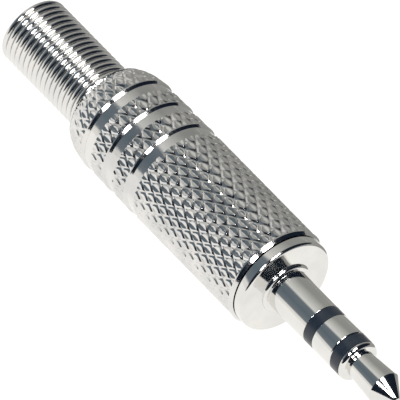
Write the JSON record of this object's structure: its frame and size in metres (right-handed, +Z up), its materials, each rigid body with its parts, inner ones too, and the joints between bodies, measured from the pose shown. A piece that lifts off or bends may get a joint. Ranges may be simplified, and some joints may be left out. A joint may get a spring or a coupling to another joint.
{
  "type": "stereo jack plug",
  "caption": "Stereo jack plug: a straight contact shaft with tip, ring and sleeve, a screwed knurled metal barrel over the solder lugs, and a coil spring that guards the cable.",
  "frame": {"origin": "bottom centre of the bounding box, on the surface that the plug lies on", "axes": "+X along the plug towards its tip, +Z up, with the ground lug's cable clamp downwards"},
  "size_m": [0.0462, 0.0086, 0.0086],
  "materials": {
    "nickel_plate": "bright nickel plate on turned brass",
    "knurled_nickel": "nickel plate over a rolled diamond knurl",
    "spring_wire": "nickel-plated spring steel wire",
    "tinned_brass": "tin-plated stamped sheet",
    "black_plastic": "moulded, near black",
    "fibre_washer": "pressed brown laminate",
    "liner_plastic": "thin milky plastic tube"
  },
  "bodies": {
    "contacts": {"sleeve_contact": "nickel_plate", "ring_contact": "nickel_plate", "tip_contact": "nickel_plate", "ring_insulator": "black_plastic", "tip_insulator": "black_plastic", "ground_lug": "tinned_brass", "ring_lug": "tinned_brass", "tip_lug": "tinned_brass", "ring_lug_washer": "fibre_washer", "tip_lug_washer": "fibre_washer"},
    "spring": {"bend_spring": "spring_wire"},
    "barrel": {"barrel": "knurled_nickel", "liner_tube": "liner_plastic"}
  },
  "joints": [
    {"name": "barrel_travel", "type": "slide", "parent": "contacts", "child": "spring", "axis": [-1, 0, 0], "range_m": [0, 0.0045]},
    {"name": "barrel_unscrew", "type": "hinge", "parent": "spring", "child": "barrel", "pos_m": [0, 0, 0.00431], "axis": [-1, 0, 0], "range_deg": [0, 3240]}
  ],
  "couplings": [
    {"joint": "barrel_unscrew", "follows": "barrel_travel", "rad_per_m": 12566}
  ]
}
